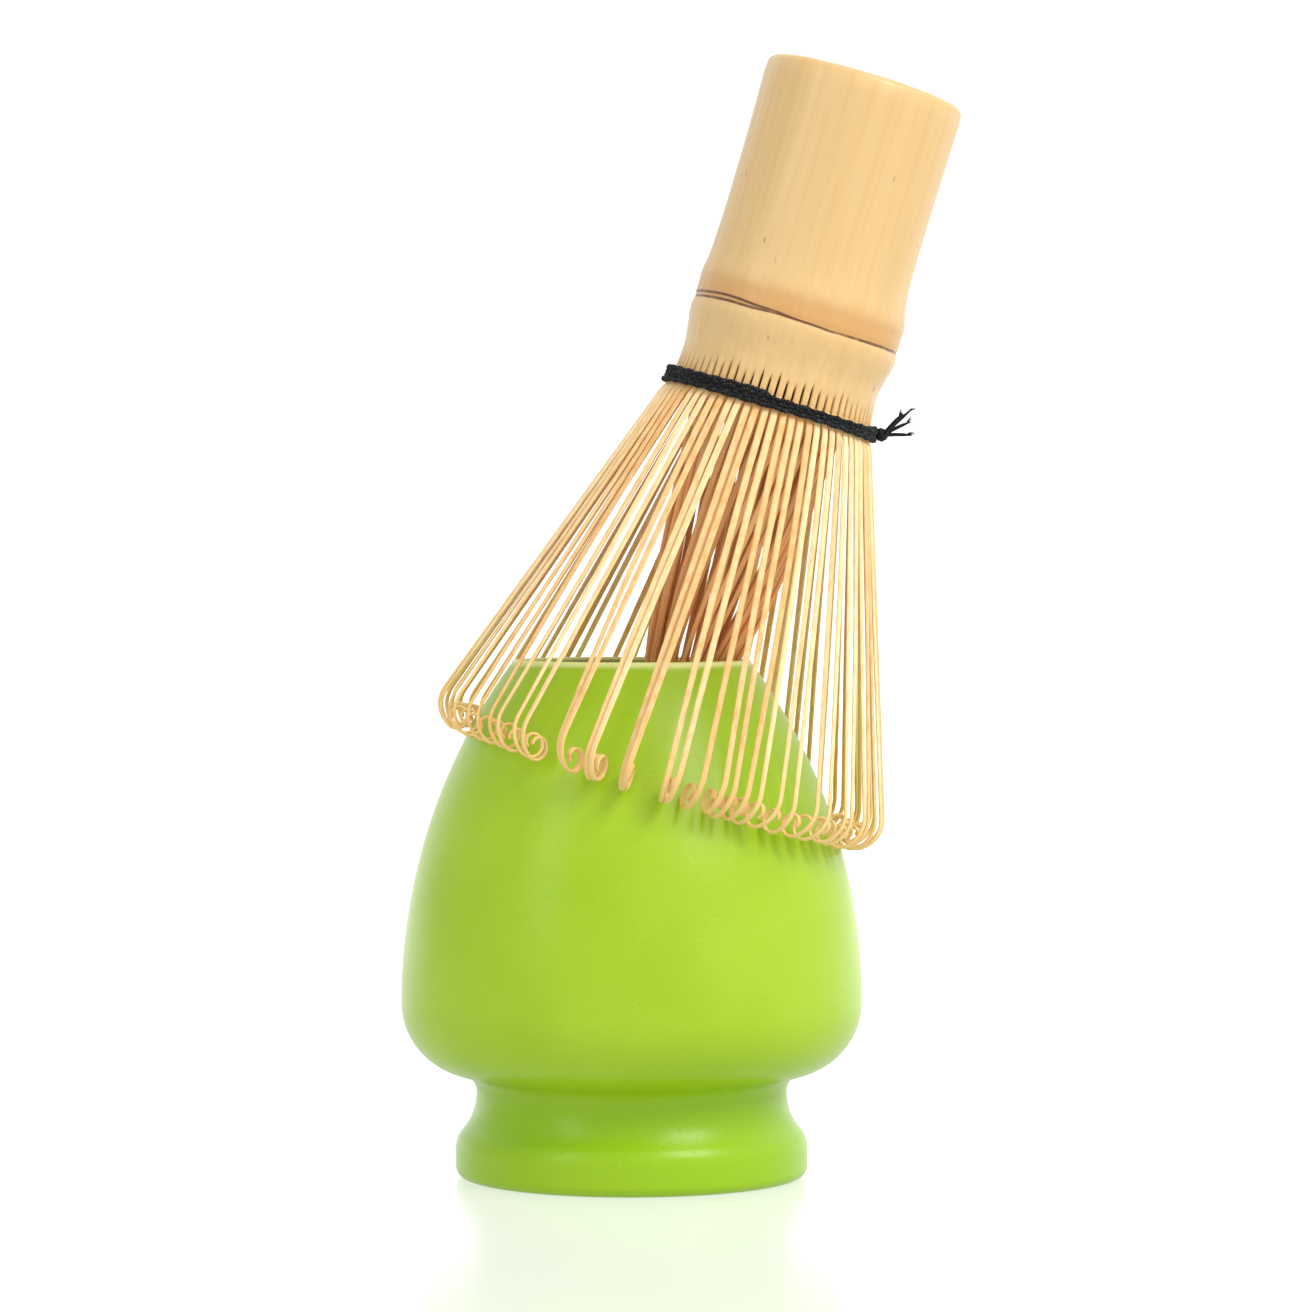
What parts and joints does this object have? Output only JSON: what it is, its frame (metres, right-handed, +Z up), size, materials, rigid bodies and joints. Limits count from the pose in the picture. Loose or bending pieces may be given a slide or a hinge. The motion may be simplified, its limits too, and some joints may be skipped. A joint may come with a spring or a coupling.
{
  "type": "bamboo tea whisk on a ceramic whisk holder",
  "caption": "Bamboo matcha whisk with a hollow culm handle, curled outer tines, a closed inner bundle and a black binding thread, resting on a green glazed ceramic whisk holder.",
  "frame": {"origin": "centre of the holder's foot, on the table", "axes": "+Z up, +X to the side the whisk leans to, +Y to the back"},
  "size_m": [0.081, 0.0668, 0.1624],
  "materials": {
    "glaze": "glossy lime-green glaze on slip-cast stoneware",
    "bamboo_skin": "satin bamboo culm, skin on",
    "bamboo_tine": "split and shaved bamboo, satin",
    "inner_bamboo": "split and shaved inner bamboo, matt",
    "binding_thread": "black cotton thread, matt"
  },
  "bodies": {
    "holder": {"holder_body": "glaze"},
    "whisk": {"handle": "bamboo_skin", "inner_tines_1": "inner_bamboo", "inner_tines_2": "inner_bamboo", "inner_tines_3": "inner_bamboo", "inner_tines_4": "inner_bamboo", "inner_tines_5": "inner_bamboo", "inner_tines_6": "inner_bamboo", "inner_tines_7": "inner_bamboo", "inner_tines_8": "inner_bamboo", "thread_round_1": "binding_thread", "thread_round_2": "binding_thread", "thread_round_3": "binding_thread", "thread_round_4": "binding_thread", "thread_knot": "binding_thread", "thread_tails": "binding_thread"},
    "tines_01": {"outer_tines_01": "bamboo_tine"},
    "tines_02": {"outer_tines_02": "bamboo_tine"},
    "tines_03": {"outer_tines_03": "bamboo_tine"},
    "tines_04": {"outer_tines_04": "bamboo_tine"},
    "tines_05": {"outer_tines_05": "bamboo_tine"},
    "tines_06": {"outer_tines_06": "bamboo_tine"},
    "tines_07": {"outer_tines_07": "bamboo_tine"},
    "tines_08": {"outer_tines_08": "bamboo_tine"},
    "tines_09": {"outer_tines_09": "bamboo_tine"},
    "tines_10": {"outer_tines_10": "bamboo_tine"},
    "tines_11": {"outer_tines_11": "bamboo_tine"},
    "tines_12": {"outer_tines_12": "bamboo_tine"}
  },
  "joints": [
    {"name": "whisk_lift", "type": "slide", "parent": "holder", "child": "whisk", "axis": [0.2857, 0, 0.9583], "range_m": [0, 0.07]},
    {"name": "tine_splay_01", "type": "hinge", "parent": "whisk", "child": "tines_01", "pos_m": [0.03444, 0, 0.10748], "axis": [0, -1, 0], "range_deg": [0, 5], "stiffness_Nm_per_rad": 0.02},
    {"name": "tine_splay_02", "type": "hinge", "parent": "whisk", "child": "tines_02", "pos_m": [0.03251, 0.0075, 0.10806], "axis": [0.4792, -0.866, -0.1428], "range_deg": [0, 5], "stiffness_Nm_per_rad": 0.02},
    {"name": "tine_splay_03", "type": "hinge", "parent": "whisk", "child": "tines_03", "pos_m": [0.02725, 0.01299, 0.10962], "axis": [0.8299, -0.5, -0.2474], "range_deg": [0, 5], "stiffness_Nm_per_rad": 0.02},
    {"name": "tine_splay_04", "type": "hinge", "parent": "whisk", "child": "tines_04", "pos_m": [0.02006, 0.015, 0.11177], "axis": [0.9583, 0, -0.2857], "range_deg": [0, 5], "stiffness_Nm_per_rad": 0.02},
    {"name": "tine_splay_05", "type": "hinge", "parent": "whisk", "child": "tines_05", "pos_m": [0.01288, 0.01299, 0.11391], "axis": [0.8299, 0.5, -0.2474], "range_deg": [0, 5], "stiffness_Nm_per_rad": 0.02},
    {"name": "tine_splay_06", "type": "hinge", "parent": "whisk", "child": "tines_06", "pos_m": [0.00762, 0.0075, 0.11548], "axis": [0.4792, 0.866, -0.1428], "range_deg": [0, 5], "stiffness_Nm_per_rad": 0.02},
    {"name": "tine_splay_07", "type": "hinge", "parent": "whisk", "child": "tines_07", "pos_m": [0.00569, 0, 0.11605], "axis": [0, 1, 0], "range_deg": [0, 5], "stiffness_Nm_per_rad": 0.02},
    {"name": "tine_splay_08", "type": "hinge", "parent": "whisk", "child": "tines_08", "pos_m": [0.00762, -0.0075, 0.11548], "axis": [-0.4792, 0.866, 0.1428], "range_deg": [0, 5], "stiffness_Nm_per_rad": 0.02},
    {"name": "tine_splay_09", "type": "hinge", "parent": "whisk", "child": "tines_09", "pos_m": [0.01288, -0.01299, 0.11391], "axis": [-0.8299, 0.5, 0.2474], "range_deg": [0, 5], "stiffness_Nm_per_rad": 0.02},
    {"name": "tine_splay_10", "type": "hinge", "parent": "whisk", "child": "tines_10", "pos_m": [0.02006, -0.015, 0.11177], "axis": [-0.9583, 0, 0.2857], "range_deg": [0, 5], "stiffness_Nm_per_rad": 0.02},
    {"name": "tine_splay_11", "type": "hinge", "parent": "whisk", "child": "tines_11", "pos_m": [0.02725, -0.01299, 0.10962], "axis": [-0.8299, -0.5, 0.2474], "range_deg": [0, 5], "stiffness_Nm_per_rad": 0.02},
    {"name": "tine_splay_12", "type": "hinge", "parent": "whisk", "child": "tines_12", "pos_m": [0.03251, -0.0075, 0.10806], "axis": [-0.4792, -0.866, 0.1428], "range_deg": [0, 5], "stiffness_Nm_per_rad": 0.02}
  ],
  "couplings": [
    {"joint": "tine_splay_02", "follows": "tine_splay_01", "ratio": 1},
    {"joint": "tine_splay_03", "follows": "tine_splay_01", "ratio": 1},
    {"joint": "tine_splay_04", "follows": "tine_splay_01", "ratio": 1},
    {"joint": "tine_splay_05", "follows": "tine_splay_01", "ratio": 1},
    {"joint": "tine_splay_06", "follows": "tine_splay_01", "ratio": 1},
    {"joint": "tine_splay_07", "follows": "tine_splay_01", "ratio": 1},
    {"joint": "tine_splay_08", "follows": "tine_splay_01", "ratio": 1},
    {"joint": "tine_splay_09", "follows": "tine_splay_01", "ratio": 1},
    {"joint": "tine_splay_10", "follows": "tine_splay_01", "ratio": 1},
    {"joint": "tine_splay_11", "follows": "tine_splay_01", "ratio": 1},
    {"joint": "tine_splay_12", "follows": "tine_splay_01", "ratio": 1}
  ]
}
